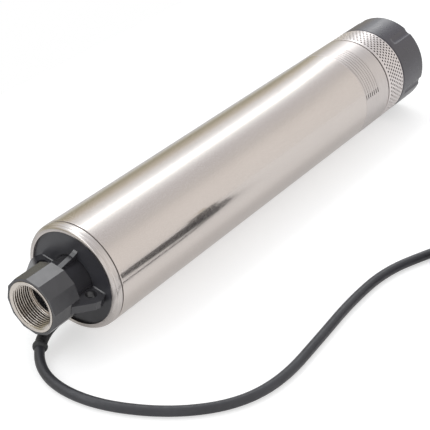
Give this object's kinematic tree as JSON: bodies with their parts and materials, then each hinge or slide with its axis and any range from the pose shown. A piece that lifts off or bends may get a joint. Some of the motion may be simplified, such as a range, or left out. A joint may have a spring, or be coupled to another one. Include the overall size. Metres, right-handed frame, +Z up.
{
  "type": "submersible pump",
  "caption": "Slim stainless submersible borehole pump lying on its side, with a threaded outlet, rope lugs, slotted intake, fluted end cap and a coiled power cable.",
  "frame": {"origin": "on the ground under the middle of the pump's length, with the pump lying on its side", "axes": "+X along the pump's axis from the discharge mouth towards the end cap, +Z up, +Y to the far side from the cable's coil"},
  "size_m": [0.6032, 0.479, 0.098],
  "materials": {
    "steel_mirror": "mirror polished stainless steel",
    "steel_brushed": "brushed stainless steel",
    "steel_insert": "turned stainless steel",
    "black_plastic": "satin moulded plastic",
    "cap_plastic": "matt moulded plastic",
    "inner_plastic": "natural moulded plastic",
    "rubber_black": "soft black rubber",
    "cable_rubber": "smooth rubber cable jacket",
    "lead_copper": "insulated copper lead",
    "core_steel": "laminated electrical steel",
    "windings": "enamelled copper",
    "aluminium_cast": "cast aluminium",
    "bearing_steel": "ground bearing steel",
    "shaft_steel": "ground stainless steel",
    "seal_face": "lapped seal face",
    "strap": "woven strap",
    "pin_brass": "plated brass"
  },
  "bodies": {
    "pump": {"head_ring": "steel_mirror", "outer_tube": "steel_mirror", "intake_sleeve": "steel_brushed", "discharge_head": "black_plastic", "head_plate": "black_plastic", "head_o_ring": "rubber_black", "thread_insert": "steel_insert", "valve_seat": "rubber_black", "valve_guide": "inner_plastic", "valve_spring": "shaft_steel", "gland_seal": "rubber_black", "cable_relief": "rubber_black", "cable_tail": "cable_rubber", "phase_lead": "lead_copper", "neutral_lead": "lead_copper", "earth_lead": "lead_copper", "upper_spider": "inner_plastic", "motor_can": "steel_brushed", "wiring_tray": "inner_plastic", "capacitor": "aluminium_cast", "upper_bracket": "aluminium_cast", "upper_bearing_outer": "bearing_steel", "upper_bearing_balls": "bearing_steel", "stator_core": "core_steel", "stator_windings": "windings", "motor_flange": "aluminium_cast", "lower_bearing_outer": "bearing_steel", "lower_bearing_balls": "bearing_steel", "oil_seal": "rubber_black", "seal_seat": "seal_face", "pump_lantern": "inner_plastic", "inlet_casing": "inner_plastic", "shaft_bush": "rubber_black", "cap_spigot": "black_plastic", "cap_o_ring": "rubber_black", "power_cable": "cable_rubber", "cable_coil": "cable_rubber", "coil_tie": "strap", "plug_body": "rubber_black", "plug_pins": "pin_brass", "stage_casing_1": "inner_plastic", "stage_casing_2": "inner_plastic", "stage_casing_3": "inner_plastic", "stage_casing_4": "inner_plastic"},
    "rotor": {"shaft": "shaft_steel", "rotor_core": "core_steel", "rotor_end_rings": "aluminium_cast", "upper_bearing_inner": "bearing_steel", "lower_bearing_inner": "bearing_steel", "seal_ring": "seal_face", "seal_bellows": "rubber_black", "shaft_spacers": "shaft_steel", "shaft_nut": "shaft_steel", "impeller_1": "inner_plastic", "impeller_2": "inner_plastic", "impeller_3": "inner_plastic", "impeller_4": "inner_plastic"},
    "valve": {"valve_poppet": "inner_plastic"},
    "strainer": {"strainer_ring": "steel_brushed"},
    "cap": {"end_cap": "cap_plastic"}
  },
  "joints": [
    {"name": "rotor_spin", "type": "hinge", "parent": "pump", "child": "rotor", "pos_m": [0.0115, 0, 0.049], "axis": [1, 0, 0], "continuous": true},
    {"name": "valve_lift", "type": "slide", "parent": "pump", "child": "valve", "axis": [-1, 0, 0], "range_m": [0, 0.007], "stiffness_N_per_m": 150, "springref_m": -0.006, "deforming": ["valve_spring"]},
    {"name": "strainer_slide", "type": "slide", "parent": "pump", "child": "strainer", "axis": [1, 0, 0], "range_m": [0, 0.012]},
    {"name": "cap_turn", "type": "hinge", "parent": "strainer", "child": "cap", "pos_m": [0.2655, 0, 0.049], "axis": [1, 0, 0], "range_deg": [0, 720]}
  ],
  "couplings": [
    {"joint": "strainer_slide", "follows": "cap_turn", "m_per_rad": 0.00095492}
  ]
}
